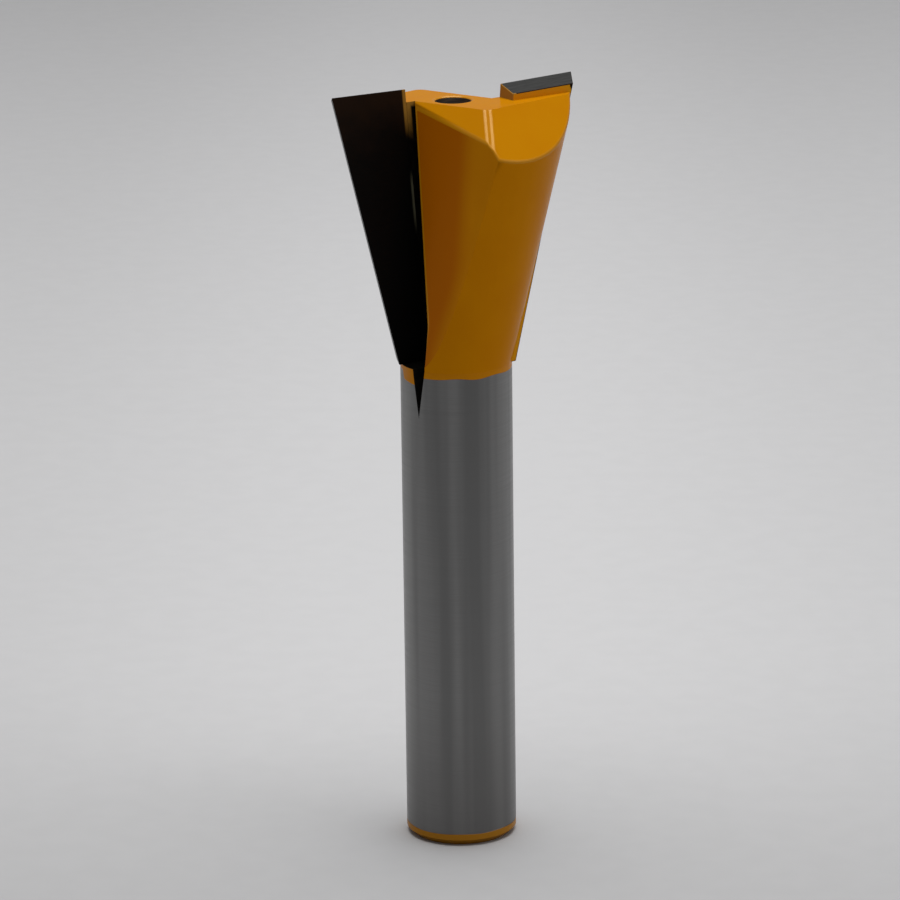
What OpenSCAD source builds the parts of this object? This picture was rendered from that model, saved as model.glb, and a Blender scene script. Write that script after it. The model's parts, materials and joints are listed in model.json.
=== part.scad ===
// Two-flute dovetail cutter for a hand router, standing on the end of its shank.
// The axis is +Z and the origin is the middle of the shank's end. One flute is drawn on the -X side,
// with its rake face towards -Y, and the other is the same flute turned half a turn about the axis.

/* [Shank] */
// Diameter of the ground shank
shank_d = 8; // [7.6:0.1:8.4]
// Height of the neck, where the shank ends and the head begins
shank_length = 35.45; // [25:0.05:50]
// Chamfer round the shank's end
end_chamfer = 0.45; // [0.2:0.05:0.8]

/* [Head] */
// Diameter of the head's cone at its flat top
head_d = 17; // [16.4:0.1:17.4]
// Height of the head above the neck
head_height = 18.92; // [17:0.01:19.2]
// Mouth of the centre hole in the top
centre_hole_d = 2.7; // [1.6:0.1:3]
// Pilot drilled below the centre hole's cone
centre_pilot_d = 1.2; // [0.6:0.1:1.4]
// Depth of the centre hole with its pilot
centre_hole_depth = 4.2; // [3:0.1:8]

/* [Carbide tips] */
// Diameter of the circle that the tips cut
cutting_d = 19; // [18.4:0.1:19.6]
// Height of the tips, from their foot to the cutting corner
tip_height = 20; // [19:0.1:21]
// Angle between the cutting edge and the axis
dovetail_angle = 15; // [14:0.5:16]
// Thickness of a tip
tip_thickness = 1.6; // [1.4:0.05:1.9]
// How far the rake face stands behind the axis
rake_offset = 1.27; // [1:0.01:1.5]
// From the axis to a tip's inner edge, at the top
tip_inner_top = 3.2; // [3:0.1:3.4]
// From the axis to a tip's inner edge, at the foot
tip_inner_foot = 1.5; // [1.2:0.1:2]
// Relief behind the flank edge, seen along the axis
side_relief = 28.5; // [26:0.5:30]
// Relief behind the end edge
end_relief = 17; // [10:1:20]
// Dish of the end edge towards the axis
dish_angle = 1.2; // [0.5:0.1:2]

/* [Gullets] */
// Turn of the gullet's wall away from square to the rake face
wall_turn = 8.5; // [6:0.1:10]
// Lean of the wall in towards the axis
wall_lean = 4.6; // [4:0.05:5]
// From the axis to the wall at the neck
wall_at_neck = 4; // [3.8:0.01:4.05]
// Turn of the narrow slot between the wall and the rake face
slot_turn = 38; // [30:1:45]
// Lean of the slot's side, out from the axis
slot_lean = 3; // [2:0.1:4]
// From the axis to the slot's side at the neck
slot_at_neck = 1.65; // [1.4:0.01:1.9]
// Lean of the slot's foot, which starts to run out above the neck
slot_foot_lean = 2.6; // [2:0.1:4]
// Height above the neck at which the slot's foot turns into the run-out
slot_foot_height = 0.6; // [0.5:0.1:1]
// How far the slot runs out into the shank below the neck
runout_length = 3.5; // [2.5:0.05:4]
// Slope of the run-out from the axis
runout_slope = 22; // [20:1:26]
// Angle between the run-out's two sides
runout_angle = 48; // [40:1:56]
// Turn of the run-out round the shank from the rake face's own side
runout_turn = 12.5; // [10:0.5:15]

/* [Top bevels] */
// Turn of the bevel above the gullet's wall
wall_bevel_turn = 20; // [15:0.1:25]
// Slope of that bevel from level
wall_bevel_slope = 44; // [42:1:48]
// From the axis to that bevel, at the flat top
wall_bevel_at_top = 1.86; // [1.8:0.01:2.1]
// Turn of the bevel behind a tip
heel_bevel_turn = 98.8; // [94:0.1:102]
// Slope of that bevel from level
heel_bevel_slope = 45; // [40:1:48]
// From the axis to that bevel, at the flat top
heel_bevel_at_top = 4.5; // [4.3:0.05:4.7]

/* [Hidden] */
$fn = 96;

shank_r = shank_d / 2;
head_top = shank_length + head_height;
cutting_r = cutting_d / 2;
cutting_top = shank_length + tip_height;
// Sideways place of the cutting corner, which lies on the cutting circle
corner_x = sqrt(cutting_r * cutting_r - rake_offset * rake_offset);
corner = [-corner_x, rake_offset, cutting_top];
foot_x = corner_x - tip_height * tan(dovetail_angle);
tip_back = rake_offset + tip_thickness;
// Half of the angle between the run-out's sides, and how far to either side each of them faces
runout_half = runout_angle / 2;
runout_aside = atan2(cos(runout_half), sin(runout_half) * cos(runout_slope));
runout_rise = asin(sin(runout_half) * sin(runout_slope));
// Cone of the centre hole, 60 degrees across
centre_cone_depth = (centre_hole_d - centre_pilot_d) / 2 / tan(30);
// Side of the blocks that stand for everything beyond a flat
BLOCK = 120;
// How far one cut runs into the next, so that no skin is left between them
OVERLAP = 0.3;

// Unit vector at an angle round the axis and an angle up from level
function direction(turn, rise) = [cos(turn) * cos(rise), sin(turn) * cos(rise), sin(rise)];

// Point at a distance from the axis, at a turn and a height
function standing(turn, distance, height) = [distance * cos(turn), distance * sin(turn), height];

// Everything on the outer side of a flat through a point, with the flat's normal pointing outwards
module beyond(point, normal) {
    turn = atan2(normal[1], normal[0]);
    rise = atan2(normal[2], norm([normal[0], normal[1]]));
    translate(point) rotate([0, 0, turn]) rotate([0, -rise, 0])
        translate([0, -BLOCK / 2, -BLOCK / 2]) cube(BLOCK);
}

// Shank and head as they leave the lathe, with the centre hole in the top
module turned_blank() {
    rotate_extrude() polygon([
        [0, 0],
        [shank_r - end_chamfer, 0],
        [shank_r, end_chamfer],
        [shank_r, shank_length],
        [head_d / 2, head_top],
        [centre_hole_d / 2, head_top],
        [centre_pilot_d / 2, head_top - centre_cone_depth],
        [centre_pilot_d / 2, head_top - centre_hole_depth],
        [0, head_top - centre_hole_depth]
    ]);
}

// Everything outside a flat through the run-out's root, on one of its sides and with a lean of its own
module beyond_runout_side(side, lean, height) {
    middle = 180 + runout_turn;
    depth = (runout_length + height) * tan(runout_slope);
    beyond(standing(middle, shank_r - depth, shank_length + height),
           direction(middle + side * runout_aside, lean));
}

// Space in front of the rake face: the open gullet and the slot at its root
module gullet() {
    wall_side = 180 + wall_turn;
    slot_side = 180 - slot_turn;
    intersection() {
        beyond([0, rake_offset, 0], [0, -1, 0]);
        beyond([0, 0, shank_length], [0, 0, 1]);
        union() {
            beyond(standing(wall_side, wall_at_neck, shank_length), direction(wall_side, wall_lean));
            intersection() {
                beyond(standing(slot_side, slot_at_neck, shank_length), direction(slot_side, -slot_lean));
                beyond_runout_side(-1, slot_foot_lean, slot_foot_height);
                beyond_runout_side(-1, runout_rise, 0);
            }
        }
    }
}

// Groove in which the slot's cutter runs out at the surface of the shank
module runout() {
    intersection() {
        beyond_runout_side(1, runout_rise, 0);
        beyond_runout_side(-1, runout_rise, 0);
        beyond([0, 0, shank_length + OVERLAP], [0, 0, -1]);
    }
}

// Pocket that a tip is brazed into, open at its front, its outer side and its top
module seat() {
    rise = BLOCK / 2;
    inner_at_rise = tip_inner_foot + rise * (tip_inner_top - tip_inner_foot) / tip_height;
    translate([0, tip_back, shank_length]) rotate([90, 0, 0])
        linear_extrude(height = tip_thickness + OVERLAP)
            polygon([[-tip_inner_foot, 0], [-inner_at_rise, rise], [-rise, rise], [-rise, 0]]);
}

// Two flats that bring the head's top down to the gullet's wall and to the heel behind the other tip
module top_bevels() {
    wall_bevel_side = 180 + wall_bevel_turn;
    heel_bevel_side = 180 + heel_bevel_turn;
    intersection() {
        beyond([0, rake_offset, 0], [0, -1, 0]);
        beyond(standing(wall_bevel_side, wall_bevel_at_top, head_top),
               direction(wall_bevel_side, 90 - wall_bevel_slope));
    }
    beyond(standing(heel_bevel_side, heel_bevel_at_top, head_top),
           direction(heel_bevel_side, 90 - heel_bevel_slope));
}

// Plate with its outline in the plane of the rake face, then ground back behind both cutting edges
module tip() {
    outline = [
        [-foot_x, 0],
        [-tip_inner_foot, 0],
        [-tip_inner_top, tip_height],
        [-corner_x, tip_height]
    ];
    flank_normal = [-1, tan(side_relief), -tan(dovetail_angle)];
    end_normal = [tan(dish_angle), tan(end_relief), 1];
    difference() {
        translate([0, tip_back, shank_length]) rotate([90, 0, 0])
            linear_extrude(height = tip_thickness) polygon(outline);
        beyond(corner, flank_normal);
        beyond(corner, end_normal);
    }
}

// Steel body: shank, neck and head in one piece
module body() {
    color("goldenrod") difference() {
        turned_blank();
        for (turn = [0, 180]) rotate([0, 0, turn]) {
            gullet();
            runout();
            seat();
            top_bevels();
        }
    }
}

module carbide_tip_left() {
    color("dimgray") tip();
}

module carbide_tip_right() {
    color("dimgray") rotate([0, 0, 180]) tip();
}

body();
carbide_tip_left();
carbide_tip_right();
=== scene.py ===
"""Looks of the dovetail cutter: gloss paint, ground steel and carbide, in a plain studio."""
import json
import math

import bmesh
import bpy
from mathutils import Matrix, Vector


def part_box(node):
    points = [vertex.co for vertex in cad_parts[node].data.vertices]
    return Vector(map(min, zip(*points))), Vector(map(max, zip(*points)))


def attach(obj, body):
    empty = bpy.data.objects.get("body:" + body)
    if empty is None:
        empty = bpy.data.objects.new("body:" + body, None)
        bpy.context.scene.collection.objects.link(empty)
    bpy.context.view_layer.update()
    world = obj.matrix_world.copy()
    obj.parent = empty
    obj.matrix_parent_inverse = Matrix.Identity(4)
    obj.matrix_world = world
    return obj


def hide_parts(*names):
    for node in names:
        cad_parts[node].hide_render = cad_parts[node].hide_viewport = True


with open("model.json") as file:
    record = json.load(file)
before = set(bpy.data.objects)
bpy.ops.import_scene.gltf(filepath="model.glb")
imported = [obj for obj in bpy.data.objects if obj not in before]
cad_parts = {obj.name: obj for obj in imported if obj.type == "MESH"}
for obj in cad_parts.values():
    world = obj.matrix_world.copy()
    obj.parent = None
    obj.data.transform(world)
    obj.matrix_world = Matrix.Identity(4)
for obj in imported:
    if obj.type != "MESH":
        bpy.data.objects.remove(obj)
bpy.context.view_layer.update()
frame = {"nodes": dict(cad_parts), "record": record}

MM = 0.001

# Places on the cutter that the frame gives, in millimetres
shank_mount = next(mount for mount in frame["record"]["mounts"] if mount["name"] == "shank")
tip_low, tip_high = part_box("carbide_tip_left")
SHANK_RADIUS = shank_mount["dims"]["r_mm"]
NECK = tip_low.z / MM
HEAD_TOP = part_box("body")[1].z / MM
TIP_TOP = tip_high.z / MM
RAKE_OFFSET = tip_low.y / MM
TIP_INNER_FOOT = -tip_high.x / MM

# Other places on it, in millimetres and degrees, as the solids have them
END_CHAMFER = 0.45
HOLE_RADIUS = 1.35
TIP_INNER_SLOPE = 0.085
WALL_TURN = 8.5
WALL_LEAN = 4.6
SLOT_TURN = 38.0
SLOT_LEAN = 3.0
SLOT_FOOT_TURN = 55.07
SLOT_FOOT_LEAN = 2.6
WALL_BEVEL_TURN = 20.0
WALL_BEVEL_SLOPE = 44.0
HEEL_BEVEL_TURN = 98.8
HEEL_BEVEL_SLOPE = 45.0

# The photograph's camera, worked out from the shank's edges, the foot and the tips' corners
CAMERA_TURN = math.radians(35.18)
CAMERA_DISTANCE = 330.0 * MM
CAMERA_HEIGHT = 120.64 * MM
CAMERA_YAW = math.radians(-0.09)
CAMERA_PITCH = math.radians(15.556)
CAMERA_ROLL = math.radians(-0.71)
CAMERA_FOCAL_PIXELS = 4769.3
CAMERA_REACH = (0.01, 20.0)
PICTURE_PIXELS = 900
SENSOR_WIDTH = 36.0

# Width of the rounding along each kind of edge of the body, in millimetres
ROUNDING = {
    ("hip", "wall_bevel"): 0.12,
    ("heel_bevel", "hip"): 0.12,
    ("hip", "wall"): 0.12,
    ("wall", "wall_bevel"): 0.16,
    ("heel_bevel", "wall"): 0.16,
    ("cone", "heel_bevel"): 0.16,
    ("slot", "wall"): 0.18,
    ("slot_foot", "wall"): 0.18,
    ("hole", "top"): 0.12,
}
WIDEST_ROUNDING = 0.18
HIP_OFFSET = 0.25 * MM
TIP_ROUNDING = 0.05 * MM
ROUNDING_SEGMENTS = 4
SHARP_ANGLE = math.radians(14.0)
CREASE_ANGLE = math.radians(10.0)
FLAT_ANGLE = math.radians(0.6)
WELD_DISTANCE = 1e-7

# How closely a face has to lie, in millimetres, and to face the same way, to belong to a surface
TOUCHING = 0.01
NEARLY_TOUCHING = 0.05
ROUND_SLACK = 0.06
HOLE_REACH = 6.0
SAME_FLAT = 0.9995
SQUARE_ON = 0.999
FACING_UP = 0.99
FACING_OUT = 0.97
PARTLY_OUT = 0.9
HALF_OUT = 0.5
SLIGHTLY_DOWN = -0.1

# Edges of the paint, of the stains, of the painted shade and of the painted highlight, from where each
# starts to where it is full, in millimetres
NECK_LINE = (NECK - 0.55, NECK - 0.31)
NECK_LINE_SOFTNESS = (-0.025, 0.025)
BELOW_TIP = (3.8, 3.9)
BELOW_TIP_DROP = 0.6
END_LINE = (0.84, 0.92)
END_LINE_SOFTNESS = (-0.04, 0.04)
# Painted shade on the shank, darker towards its end
SHADED_END = (0.5, 13.0)
# Painted shade in a gullet, deeper towards the slot and the neck
SHADE_HEIGHT_IN_GULLET = (NECK + 0.05, NECK + 8.55)
SHADE_REACH_IN_GULLET = (2.4, 4.6)
SHADE_SOFTNESS_IN_GULLET = (-1.1, 0.9)
BARE_CORNER = (8.5, 8.62)
BARE_CORNER_TOP = TIP_TOP - 0.45
BARE_CORNER_SLOPE = -0.26
DRIFT_HEIGHT = (HEAD_TOP - 2.97, HEAD_TOP - 0.37)
DRIFT_SPREAD = 1.6
DRIFT_AT_TOP = (HEAD_TOP - 0.42, HEAD_TOP - 0.17)
DRIFT_BESIDE_TIP = (-0.42, -0.25)
DRIFT_ON_TIP = (0.22, 0.36)
# Painted highlight: a pale braze line on the rake face, over a short reach only
BRAZE_HIGHLIGHT_START = (NECK + 9.15, NECK + 11.35)
BRAZE_HIGHLIGHT_END = (NECK + 12.75, NECK + 14.15)
BRAZE_HIGHLIGHT_WIDTH = (0.12, 0.28)
HEAT_HEIGHT = (HEAD_TOP - 0.87, HEAD_TOP + 4.13)
HEAT_SPREAD = 6.0

# The stage, in metres and watts, with places as seen from the camera's side
# The floor's shading is in millimetres
CAMERA_SIDE = Matrix.Rotation(-CAMERA_TURN, 4, "Z")
FLOOR_REACH = 3.0
# Painted shade on the floor: darker to either side and towards the camera
FLOOR_SHADE_SIDES = (4.0, 48.0)
FLOOR_SHADE_SIDES_LEVEL = (1.0, 0.9)
FLOOR_SHADE_FRONT = (-35.0, 45.0)
FLOOR_SHADE_FRONT_LEVEL = (0.8, 1.0)
TOP_LAMP_SIZE = 0.45
TOP_LAMP_WATTS = 2.15
TOP_LAMP_PLACE = Vector((0.02, 0.07, 0.46))
SIDE_LAMP_SIZE = 0.3
SIDE_LAMP_WATTS = 0.17
SIDE_LAMP_PLACE = Vector((0.36, -0.12, 0.22))
WORLD_COLOUR = (0.2, 0.2, 0.204, 1)


def add_camera():
    """Places the photograph's camera, looking slightly down at the cutter from its front left."""
    forward = Vector((
        math.sin(CAMERA_YAW) * math.cos(CAMERA_PITCH),
        math.cos(CAMERA_YAW) * math.cos(CAMERA_PITCH),
        -math.sin(CAMERA_PITCH),
    ))
    level_right = Vector((math.cos(CAMERA_YAW), -math.sin(CAMERA_YAW), 0.0))
    level_up = level_right.cross(forward)
    right = math.cos(CAMERA_ROLL) * level_right + math.sin(CAMERA_ROLL) * level_up
    up = right.cross(forward)
    axes = Matrix((right, up, -forward)).transposed().to_4x4()
    place = Matrix.Translation((0.0, -CAMERA_DISTANCE, CAMERA_HEIGHT))
    data = bpy.data.cameras.new("camera")
    data.sensor_width = SENSOR_WIDTH
    data.lens = CAMERA_FOCAL_PIXELS * SENSOR_WIDTH / PICTURE_PIXELS
    data.clip_start, data.clip_end = CAMERA_REACH
    camera = bpy.data.objects.new("camera", data)
    camera.matrix_world = CAMERA_SIDE @ place @ axes
    bpy.context.collection.objects.link(camera)
    bpy.context.scene.camera = camera


class Nodes:
    """Short way to write a material's node tree."""

    def __init__(self, name):
        self.material = bpy.data.materials.new(name)
        self.material.use_nodes = True
        self.tree = self.material.node_tree
        self.shader = self.tree.nodes["Principled BSDF"]

    def add(self, kind, settings=None, **inputs):
        """Adds a node; an input is given by its name, or by n and its number."""
        node = self.tree.nodes.new(kind)
        for name, value in (settings or {}).items():
            setattr(node, name, value)
        for name, value in inputs.items():
            self.put(node, name.replace("_", " "), value)
        return node

    def put(self, node, name, value):
        key = int(name[1:]) if name[0] == "n" and name[1:].isdigit() else name
        if isinstance(value, bpy.types.NodeSocket):
            self.tree.links.new(value, node.inputs[key])
        else:
            node.inputs[key].default_value = value

    def set(self, **inputs):
        for name, value in inputs.items():
            self.put(self.shader, name.replace("_", " "), value)

    def math(self, operation, first, second=0.0, third=0.0):
        node = self.add("ShaderNodeMath", {"operation": operation}, n0=first, n1=second, n2=third)
        return node.outputs[0]

    def mix(self, factor, first, second):
        """Mixes two numbers."""
        node = self.add("ShaderNodeMix", {"data_type": "FLOAT"}, n0=factor, n2=first, n3=second)
        return node.outputs[0]

    def blend(self, factor, first, second):
        """Mixes two colours."""
        node = self.add("ShaderNodeMix", {"data_type": "RGBA"}, n0=factor, n6=first, n7=second)
        return node.outputs[2]

    def ramp(self, value, low, high, first=0.0, second=1.0):
        """Goes smoothly from first to second as a value goes from low to high."""
        settings = {"interpolation_type": "SMOOTHSTEP"}
        node = self.add("ShaderNodeMapRange", settings, n0=value, n1=low, n2=high, n3=first, n4=second)
        return node.outputs[0]

    def place(self):
        """Object coordinates in millimetres."""
        point = self.add("ShaderNodeTexCoord").outputs["Object"]
        return self.add("ShaderNodeVectorMath", {"operation": "SCALE"}, n0=point, n3=1.0 / MM).outputs[0]

    def noise(self, point, scale, detail=2.0, stretch=(1.0, 1.0, 1.0), roughness=0.5):
        moved = self.add("ShaderNodeMapping", Scale=stretch, Vector=point).outputs[0]
        node = self.add("ShaderNodeTexNoise", Vector=moved, Scale=scale, Detail=detail, Roughness=roughness)
        return node.outputs["Fac"]

    def bump(self, height, distance, strength=1.0):
        return self.add("ShaderNodeBump", Height=height, Distance=distance, Strength=strength).outputs[0]


def colour(red, green, blue):
    return (red, green, blue, 1.0)


PAINT = colour(0.615, 0.222, 0.001)
# A deeper tone of the paint, used at random and as painted shade in a gullet
PAINT_DEEP_AND_SHADE = colour(0.49, 0.13, 0.0005)
# The same paint, yellower, as a lit copy for the top, its bevels and hips: painted light
PAINT_LIT_TOP = colour(0.55, 0.21, 0.001)
PAINT_BEAD = colour(0.6, 0.24, 0.004)
PAINT_GLOW = colour(1.0, 0.78, 0.38)
PAINT_FOOT = colour(0.4, 0.17, 0.012)
# Paint on the end chamfer, darkened as painted shade where it faces the floor
PAINT_UNDER_SHADED = colour(0.26, 0.11, 0.005)
PAINT_ON_TIP = colour(0.74, 0.32, 0.006)
PAINT_THIN = colour(0.38, 0.19, 0.03)
# Steel tones, used for the painted reflection streaks on the shank and for its grinding rings
STEEL = colour(0.225, 0.224, 0.221)
STEEL_DARK = colour(0.16, 0.16, 0.158)
# Steel darkened as painted shade towards the shank's end
STEEL_SHADED = colour(0.125, 0.121, 0.118)
# Near-black, painted shade in the crevices beside the tips and on the slot
NEAR_BLACK = colour(0.003, 0.0026, 0.0022)
NEAR_BLACK_PALE = colour(0.0075, 0.006, 0.0045)
CARBIDE = colour(0.036, 0.036, 0.034)
CARBIDE_DARK = colour(0.017, 0.017, 0.016)
# Carbide of the rake faces, near-black as painted shade
RAKE_BLACK_SHADE = colour(0.004, 0.0035, 0.0031)
RAKE_BROWN = colour(0.017, 0.008, 0.004)
BROWN = colour(0.05, 0.03, 0.015)
BROWN_DARK = colour(0.012, 0.007, 0.004)
# Pale braze colour, a painted highlight along a tip's inner edge
BRAZE_HIGHLIGHT = colour(0.16, 0.15, 0.095)
FLOOR = colour(0.62, 0.618, 0.622)
BLACK = colour(0.0, 0.0, 0.0)


def painted(n, point, base, gloss):
    """Sets the surface of the amber paint, faintly orange-peeled, and gives its colour back."""
    depth = n.noise(point, 0.35)
    n.set(Roughness=n.ramp(n.noise(point, 1.2), 0.3, 0.7, 0.2, 0.26))
    n.set(Normal=n.bump(n.noise(point, 1.5, detail=1.0), distance=0.02 * MM, strength=0.25))
    n.shader.inputs["Specular IOR Level"].default_value = gloss
    n.shader.inputs["Specular Tint"].default_value = PAINT_GLOW
    return n.blend(n.ramp(depth, 0.35, 0.7, 0.0, 0.12), base, PAINT_DEEP_AND_SHADE)


def paint_material(name, base, gloss):
    n = Nodes(name)
    n.set(Base_Color=painted(n, n.place(), base, gloss))
    return n.material


def gullet_shaded_paint_material():
    """Paint on a gullet's wall, with painted shade: deeper in colour towards the slot and the neck, where
    the tip shades the wall.
    """
    n = Nodes("paint_in_gullet_with_painted_shade")
    point = n.place()
    parts = n.add("ShaderNodeSeparateXYZ", Vector=point)
    aside = n.math("ABSOLUTE", parts.outputs["Y"])
    # Painted shade: the paint turns deeper towards the slot and the neck; where the blend is 1 the wall is
    # out of the shade
    shade_reach = n.ramp(parts.outputs["Z"], *SHADE_HEIGHT_IN_GULLET, *SHADE_REACH_IN_GULLET)
    thin = n.ramp(n.math("SUBTRACT", aside, shade_reach), *SHADE_SOFTNESS_IN_GULLET)
    n.set(Base_Color=n.blend(thin, PAINT_DEEP_AND_SHADE, painted(n, point, PAINT, gloss=0.05)))
    return n.material


def tip_paint_material():
    """Paint on a tip's back, which stops short of the outer corner and leaves dark carbide there."""
    n = Nodes("paint_on_tip")
    point = n.place()
    parts = n.add("ShaderNodeSeparateXYZ", Vector=point)
    reach = n.math("ADD", n.math("ABSOLUTE", parts.outputs["X"]), n.noise(point, 1.3, detail=3.0))
    below = n.math("SUBTRACT", BARE_CORNER_TOP, parts.outputs["Z"])
    edge = n.math("ADD", reach, n.math("MULTIPLY", below, BARE_CORNER_SLOPE))
    bare = n.ramp(edge, *BARE_CORNER)
    n.set(Base_Color=n.blend(bare, painted(n, point, PAINT_ON_TIP, gloss=0.1), NEAR_BLACK))
    return n.material


def shank_material():
    """Ground steel with fine rings round it, painted reflection streaks along it, painted shade towards its
    end, and the edges of the paint at the neck and at its end.
    """
    n = Nodes("ground_shank")
    point = n.place()
    parts = n.add("ShaderNodeSeparateXYZ", Vector=point)
    height = parts.outputs["Z"]
    rings = n.noise(point, 1.0, detail=4.0, stretch=(0.2, 0.2, 24.0), roughness=0.65)
    # Painted reflection: streaks that run along the shank, lighter and darker round it
    reflection_streaks = n.noise(point, 1.0, stretch=(0.55, 0.55, 0.015))
    steel = n.blend(n.ramp(reflection_streaks, 0.38, 0.62), STEEL_DARK, STEEL)
    steel = n.blend(n.ramp(rings, 0.3, 0.75, 0.0, 0.3), steel, STEEL_DARK)
    # Painted shade: the steel darker towards its end
    steel = n.blend(n.ramp(height, *SHADED_END, 0.55, 0.0), steel, STEEL_SHADED)
    waver = n.noise(point, 0.22, detail=1.0, stretch=(1.0, 1.0, 0.0))
    neck_line = n.ramp(waver, 0.3, 0.7, *NECK_LINE)
    below_tip = n.ramp(n.math("ABSOLUTE", parts.outputs["X"]), *BELOW_TIP, 0.0, BELOW_TIP_DROP)
    neck_line = n.math("SUBTRACT", neck_line, below_tip)
    upper = n.ramp(n.math("SUBTRACT", height, neck_line), *NECK_LINE_SOFTNESS)
    waver = n.noise(point, 0.2, detail=1.0, stretch=(1.0, 1.0, 0.0))
    end_line = n.ramp(waver, 0.3, 0.7, *END_LINE)
    lower = n.ramp(n.math("SUBTRACT", end_line, height), *END_LINE_SOFTNESS)
    paint = n.math("MAXIMUM", upper, lower)
    coat = n.blend(lower, PAINT, PAINT_FOOT)
    n.set(Base_Color=n.blend(paint, steel, coat))
    n.set(Metallic=n.math("SUBTRACT", 1.0, paint))
    n.set(Roughness=n.mix(paint, n.ramp(rings, 0.2, 0.8, 0.28, 0.4), 0.24))
    film = n.math("ADD", n.math("MULTIPLY", paint, 8.0), n.math("MULTIPLY", rings, 0.3))
    n.set(Normal=n.bump(film, distance=0.006 * MM))
    n.shader.inputs["Specular IOR Level"].default_value = 0.06
    n.shader.inputs["Anisotropic"].default_value = 0.35
    return n.material


def beyond_inner_edge(n, parts):
    """How far a point lies outside the inner edge of the tip on its side, in millimetres."""
    at_foot = TIP_INNER_FOOT - TIP_INNER_SLOPE * NECK
    inner = n.math("MULTIPLY_ADD", parts.outputs["Z"], TIP_INNER_SLOPE, at_foot)
    return n.math("SUBTRACT", n.math("ABSOLUTE", parts.outputs["X"]), inner)


def drifted(n, height, cloud):
    """How far thin paint has drifted down from the top, from 0 to 1."""
    shift = n.math("MULTIPLY", n.math("SUBTRACT", cloud, 0.5), DRIFT_SPREAD)
    return n.ramp(n.math("ADD", height, shift), *DRIFT_HEIGHT)


def near_black_material():
    """Near-black steel in the slot and beside a brazed tip, painted shade in the crevices by the tip, with
    thin paint drifting on to it from the top.
    """
    n = Nodes("near_black_steel_and_shade")
    point = n.place()
    parts = n.add("ShaderNodeSeparateXYZ", Vector=point)
    height = parts.outputs["Z"]
    cloud = n.noise(point, 1.1, detail=3.0)
    black_shade = n.blend(n.ramp(n.noise(point, 2.6, detail=3.0), 0.35, 0.7), NEAR_BLACK, NEAR_BLACK_PALE)
    beside_tip = n.ramp(beyond_inner_edge(n, parts), *DRIFT_BESIDE_TIP)
    reached = n.math("MAXIMUM", beside_tip, n.ramp(height, *DRIFT_AT_TOP))
    film = n.math("MULTIPLY", drifted(n, height, cloud), reached)
    n.set(Base_Color=n.blend(film, black_shade, PAINT_THIN))
    n.set(Roughness=n.ramp(cloud, 0.3, 0.7, 0.5, 0.65))
    n.set(Normal=n.bump(cloud, distance=0.02 * MM, strength=0.4))
    n.shader.inputs["Specular IOR Level"].default_value = 0.06
    return n.material


def rake_material():
    """Carbide of a rake face, near-black as painted shade, browned by heat, with thin paint along its inner
    edge and a pale braze line as a painted highlight.
    """
    n = Nodes("carbide_rake_shaded_black")
    point = n.place()
    parts = n.add("ShaderNodeSeparateXYZ", Vector=point)
    height = parts.outputs["Z"]
    within = beyond_inner_edge(n, parts)
    marks = n.noise(point, 3.0, detail=4.0, stretch=(0.3, 0.3, 1.5), roughness=0.6)
    cloud = n.noise(point, 0.45, detail=3.0)
    heat = n.math("ADD", height, n.math("MULTIPLY", cloud, HEAT_SPREAD))
    # Painted shade: the rake face near-black, far darker than the ground carbide
    dark = n.blend(n.ramp(marks, 0.32, 0.68), RAKE_BLACK_SHADE, NEAR_BLACK)
    tinted = n.blend(n.ramp(heat, *HEAT_HEIGHT), dark, RAKE_BROWN)
    film = n.math("MULTIPLY", n.ramp(within, *DRIFT_ON_TIP, 1.0, 0.0), drifted(n, height, cloud))
    # Painted highlight: a pale braze line along the inner edge, only where the highlight falls
    braze = n.math("MULTIPLY", n.ramp(height, *BRAZE_HIGHLIGHT_START), n.ramp(height, *BRAZE_HIGHLIGHT_END, 1.0, 0.0))
    braze = n.math("MULTIPLY", braze, n.ramp(within, *BRAZE_HIGHLIGHT_WIDTH, 1.0, 0.0))
    n.set(Base_Color=n.blend(braze, n.blend(film, tinted, PAINT_THIN), BRAZE_HIGHLIGHT))
    n.set(Roughness=n.ramp(marks, 0.25, 0.75, 0.38, 0.5))
    n.set(Normal=n.bump(marks, distance=0.008 * MM, strength=0.5))
    n.shader.inputs["Specular IOR Level"].default_value = 0.06
    return n.material


def plain_material(name, base, darker, metallic, roughness, specular, stretch):
    """A machined surface with fine drawn-out marks in its colour and its gloss."""
    n = Nodes(name)
    point = n.place()
    marks = n.noise(point, 3.0, detail=4.0, stretch=stretch, roughness=0.6)
    n.set(Base_Color=n.blend(n.ramp(marks, 0.32, 0.68), base, darker))
    n.set(Roughness=n.ramp(marks, 0.25, 0.75, roughness, roughness + 0.12))
    n.set(Normal=n.bump(marks, distance=0.008 * MM, strength=0.5))
    n.shader.inputs["Metallic"].default_value = metallic
    n.shader.inputs["Specular IOR Level"].default_value = specular
    return n.material


def copied(node):
    """A solid's mesh with its doubled corners joined and its flats made whole."""
    mesh = bmesh.new()
    mesh.from_mesh(node.data)
    bmesh.ops.remove_doubles(mesh, verts=mesh.verts, dist=WELD_DISTANCE)
    bmesh.ops.dissolve_limit(mesh, angle_limit=FLAT_ANGLE, verts=mesh.verts, edges=mesh.edges)
    return mesh


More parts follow.
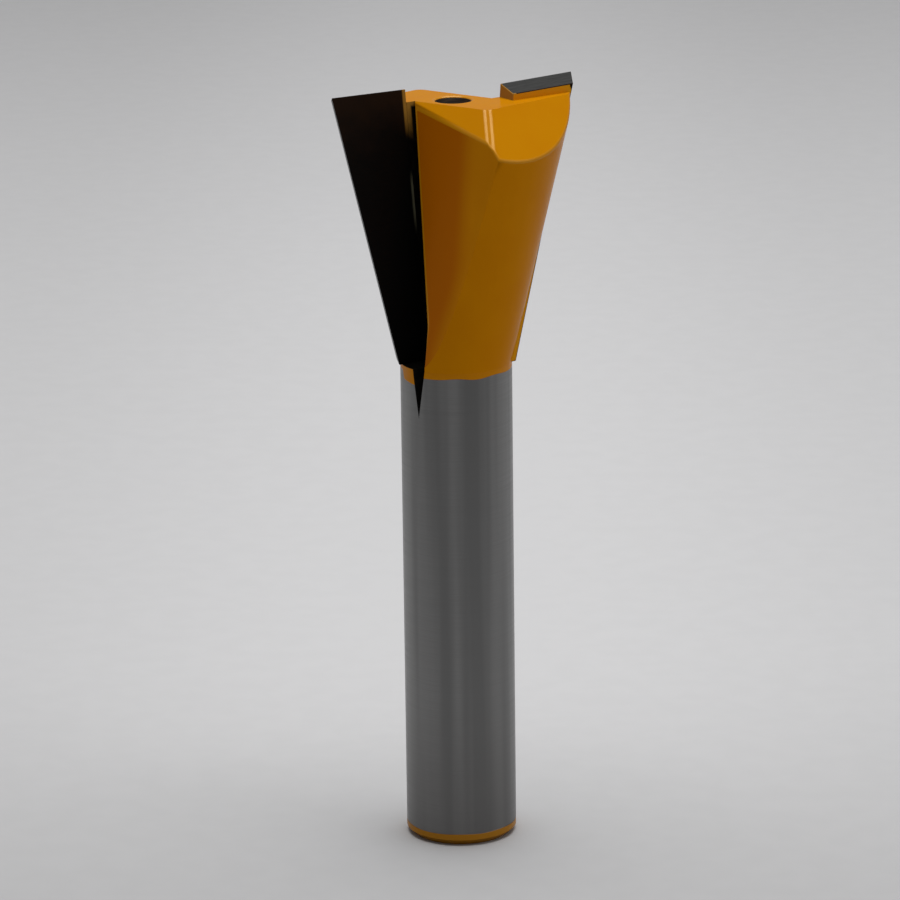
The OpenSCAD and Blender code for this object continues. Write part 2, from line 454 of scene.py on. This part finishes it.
def finished(mesh, name, node, materials, rounding, edge_material):
    """Makes a piece from a mesh, rounds its marked edges and lets it stand for a solid."""
    data = bpy.data.meshes.new(name)
    mesh.to_mesh(data)
    mesh.free()
    for material in materials:
        data.materials.append(material)
    for polygon in data.polygons:
        polygon.use_smooth = True
    piece = bpy.data.objects.new(name, data)
    bpy.context.collection.objects.link(piece)
    bevel = piece.modifiers.new("rounded_edges", "BEVEL")
    bevel.width = rounding
    bevel.segments = ROUNDING_SEGMENTS
    bevel.material = edge_material
    bevel.limit_method = "WEIGHT"
    bevel.use_clamp_overlap = False
    bevel.miter_outer = "MITER_ARC"
    normals = piece.modifiers.new("even_normals", "WEIGHTED_NORMAL")
    normals.keep_sharp = True
    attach(piece, "root")
    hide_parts(node)


def facing(turn, rise):
    """Unit vector at an angle round the axis and an angle up from level, both in degrees."""
    turn, rise = math.radians(turn), math.radians(rise)
    return Vector((math.cos(turn) * math.cos(rise), math.sin(turn) * math.cos(rise), math.sin(rise)))


FLATS = {
    "wall": facing(180 + WALL_TURN, WALL_LEAN),
    "slot": facing(180 - SLOT_TURN, -SLOT_LEAN),
    "slot_foot": facing(180 - SLOT_FOOT_TURN, SLOT_FOOT_LEAN),
    "wall_bevel": facing(180 + WALL_BEVEL_TURN, 90 - WALL_BEVEL_SLOPE),
    "heel_bevel": facing(180 + HEEL_BEVEL_TURN, 90 - HEEL_BEVEL_SLOPE),
}
FLATS["hip"] = (FLATS["wall_bevel"] + FLATS["heel_bevel"]).normalized()


# Materials of the body and of a tip in their order, and the material of each surface of the body
BODY_COATS = ("cone", "top", "hip", "gullet", "shank", "black_shade", "hole", "end", "bead")
TIP_COATS = ("rake", "ground", "paint", "black_shade")
# The slot, its foot, the run-out, the web and the seat take the near-black coat, painted shade in the
# crevices beside the tips
COAT_OF = {
    "cone": "cone", "top": "top", "wall_bevel": "top", "heel_bevel": "top", "hip": "hip", "wall": "gullet",
    "shank": "shank", "slot": "black_shade", "slot_foot": "black_shade", "runout": "black_shade", "web": "black_shade", "seat": "black_shade",
    "hole": "hole", "foot": "end",
}


def body_region(face):
    """Which surface of the body a face belongs to, by its place and the way it faces."""
    centre = face.calc_center_median() / MM
    normal = face.normal
    radius = math.hypot(centre.x, centre.y)
    outward = (normal.x * centre.x + normal.y * centre.y) / max(radius, 1e-6)
    if centre.z < END_CHAMFER + TOUCHING and (normal.z < SLIGHTLY_DOWN or centre.z < TOUCHING):
        return "foot"
    if normal.z > FACING_UP and centre.z > HEAD_TOP - NEARLY_TOUCHING:
        return "top"
    if centre.z > HEAD_TOP - HOLE_REACH and radius < HOLE_RADIUS:
        return "hole"
    if centre.z < NECK + NEARLY_TOUCHING:
        return "shank" if outward > FACING_OUT and radius > SHANK_RADIUS - ROUND_SLACK else "runout"
    for side in (1.0, -1.0):
        turned = Vector((side * normal.x, side * normal.y, normal.z))
        back = side * centre.y
        for name, flat in FLATS.items():
            if turned.dot(flat) > SAME_FLAT:
                return name
        if turned.y < -SQUARE_ON:
            return "web" if abs(back - RAKE_OFFSET) < TOUCHING else "seat"
    return "cone" if outward > PARTLY_OUT else "seat"


def edge_kinds(edge, region):
    """The two surfaces that a sharp outer edge lies between."""
    if len(edge.link_faces) != 2 or not edge.is_convex or edge.calc_face_angle() < SHARP_ANGLE:
        return None
    return tuple(sorted(region[face] for face in edge.link_faces))


def straighten_rim(mesh):
    """Leaves only the ends of the short rims where the flat top meets the cone behind each tip."""
    region = {face: body_region(face) for face in mesh.faces}
    rim = [edge for edge in mesh.edges if edge_kinds(edge, region) == ("cone", "top")]
    corners = [vert for edge in rim for vert in edge.verts]
    ends = [vert for vert in corners if corners.count(vert) == 1]
    joined = {}
    for vert in corners:
        if vert not in ends:
            near = [end for end in ends if end.co.x * vert.co.x > 0]
            joined[vert] = min(near, key=lambda end: abs(end.co.y))
    bmesh.ops.weld_verts(mesh, targetmap=joined)


def split_top(mesh):
    """Parts the flat top along one line through the hole, in place of the joins it came with."""
    tops = [face for face in mesh.faces if body_region(face) == "top"]
    edges = dict.fromkeys(edge for face in tops for edge in face.edges)
    verts = dict.fromkeys(vert for face in tops for vert in face.verts)
    across = facing(WALL_BEVEL_TURN, 0.0)
    cut = bmesh.ops.bisect_plane(mesh, geom=[*tops, *edges, *verts], plane_co=(0, 0, 0), plane_no=across)
    kept = {item for item in cut["geom_cut"] if isinstance(item, bmesh.types.BMEdge)}
    joins = [edge for edge in mesh.edges if edge not in kept
             and all(body_region(face) == "top" for face in edge.link_faces)]
    bmesh.ops.dissolve_edges(mesh, edges=joins, use_verts=False)


def add_body(materials):
    """The steel body, with a narrow flat along each hip and its painted edges rounded."""
    mesh = copied(frame["nodes"]["body"])
    straighten_rim(mesh)
    split_top(mesh)
    region = {face: body_region(face) for face in mesh.faces}
    hips = [edge for edge in mesh.edges if edge_kinds(edge, region) == ("heel_bevel", "wall_bevel")]
    bmesh.ops.bevel(mesh, geom=hips, offset=HIP_OFFSET, offset_type="OFFSET", segments=1, profile=0.5,
                    affect="EDGES")
    region = {face: body_region(face) for face in mesh.faces}
    for face in mesh.faces:
        face.material_index = BODY_COATS.index(COAT_OF[region[face]])
    weight = mesh.edges.layers.float.new("bevel_weight_edge")
    for edge in mesh.edges:
        edge[weight] = ROUNDING.get(edge_kinds(edge, region), 0.0) / WIDEST_ROUNDING
        if edge[weight] == 0.0 and edge.calc_face_angle(0.0) > CREASE_ANGLE:
            edge.smooth = False
    finished(mesh, "steel_body", "body", materials, WIDEST_ROUNDING * MM,
             BODY_COATS.index("bead"))


def add_tip(side, materials):
    """A carbide tip, with its rake and ground faces bare, its back painted and its inner end near-black as
    painted shade.
    """
    node = "carbide_tip_" + side
    mesh = copied(frame["nodes"][node])
    sign = 1.0 if side == "left" else -1.0
    for face in mesh.faces:
        forward = -sign * face.normal.y
        outward = -sign * face.normal.x
        if forward > PARTLY_OUT:
            coat = "rake"
        elif face.normal.z > HALF_OUT or outward > HALF_OUT:
            coat = "ground"
        elif outward < -PARTLY_OUT:
            coat = "black_shade"
        else:
            coat = "paint"
        face.material_index = TIP_COATS.index(coat)
    weight = mesh.edges.layers.float.new("bevel_weight_edge")
    for edge in mesh.edges:
        edge[weight] = 1.0
    finished(mesh, "brazed_tip_" + side, node, materials, TIP_ROUNDING, TIP_COATS.index("rake"))


def floor_material():
    """Pale board with painted shade: a little darker towards the camera and to either side, where the
    lamp's light falls off.
    """
    n = Nodes("pale_floor_with_painted_shade")
    point = n.place()
    parts = n.add("ShaderNodeSeparateXYZ", Vector=point)
    aside = n.ramp(n.math("ABSOLUTE", parts.outputs["X"]), *FLOOR_SHADE_SIDES, *FLOOR_SHADE_SIDES_LEVEL)
    shade_ahead = n.ramp(parts.outputs["Y"], *FLOOR_SHADE_FRONT, *FLOOR_SHADE_FRONT_LEVEL)
    level = n.math("MULTIPLY", aside, shade_ahead)
    grain = n.ramp(n.noise(point, 0.4, detail=3.0), 0.3, 0.7, 0.99, 1.01)
    shade = n.math("MULTIPLY", level, grain)
    n.set(Base_Color=n.blend(shade, BLACK, FLOOR))
    n.shader.inputs["Roughness"].default_value = 0.7
    n.shader.inputs["Specular IOR Level"].default_value = 0.2
    return n.material


def add_lamp(name, size, watts, place, aim):
    """A round soft lamp at a place as seen from the camera's side."""
    data = bpy.data.lights.new(name, "AREA")
    data.shape = "DISK"
    data.size = size
    data.energy = watts
    lamp = bpy.data.objects.new(name, data)
    lamp.matrix_world = CAMERA_SIDE @ Matrix.Translation(place) @ aim
    bpy.context.collection.objects.link(lamp)


def add_stage():
    """A pale floor that fills the view, a lamp above, a weak one at the right, and even light."""
    far = FLOOR_REACH
    data = bpy.data.meshes.new("floor")
    corners = [(-far, -far, 0), (far, -far, 0), (far, far, 0), (-far, far, 0)]
    data.from_pydata(corners, [], [(0, 1, 2, 3)])
    data.materials.append(floor_material())
    floor = bpy.data.objects.new("floor", data)
    floor.matrix_world = CAMERA_SIDE
    bpy.context.collection.objects.link(floor)
    add_lamp("soft_top", TOP_LAMP_SIZE, TOP_LAMP_WATTS, TOP_LAMP_PLACE, Matrix.Identity(4))
    towards = SIDE_LAMP_PLACE.to_track_quat("Z", "Y").to_matrix().to_4x4()
    add_lamp("soft_right", SIDE_LAMP_SIZE, SIDE_LAMP_WATTS, SIDE_LAMP_PLACE, towards)
    world = bpy.data.worlds.new("world")
    bpy.context.scene.world = world
    world.use_nodes = True
    world.node_tree.nodes["Background"].inputs["Color"].default_value = WORLD_COLOUR


bpy.context.scene.view_settings.view_transform = "Standard"
add_camera()
add_stage()

paint = paint_material("gloss_paint", PAINT, gloss=0.02)
# Lit copies of the paint for the top and the hips: painted light
lit_top_paint = paint_material("gloss_paint_lit_top", PAINT_LIT_TOP, gloss=0.035)
hip_paint = paint_material("paint_on_hip", PAINT_LIT_TOP, gloss=0.03)
bead_paint = paint_material("paint_bead", PAINT_BEAD, gloss=0.5)
# Painted shade: a darker copy of the paint for the chamfer
shaded_foot_paint = paint_material("paint_on_chamfer_shaded", PAINT_UNDER_SHADED, gloss=0.05)
gullet_shaded_paint = gullet_shaded_paint_material()
tip_paint = tip_paint_material()
shank = shank_material()
# Near-black coat, painted shade in the slot and the crevices
near_black_and_shade = near_black_material()
hole = plain_material("drilled_hole", BROWN, BROWN_DARK, metallic=0.3, roughness=0.45, specular=0.2,
                      stretch=(0.3, 0.3, 3.0))
rake = rake_material()
ground = plain_material("carbide_ground", CARBIDE, CARBIDE_DARK, metallic=0.6, roughness=0.36, specular=0.4,
                        stretch=(0.25, 2.5, 1.0))
add_body([paint, lit_top_paint, hip_paint, gullet_shaded_paint, shank, near_black_and_shade, hole, shaded_foot_paint, bead_paint])
for side in ("left", "right"):
    add_tip(side, [rake, ground, tip_paint, near_black_and_shade])
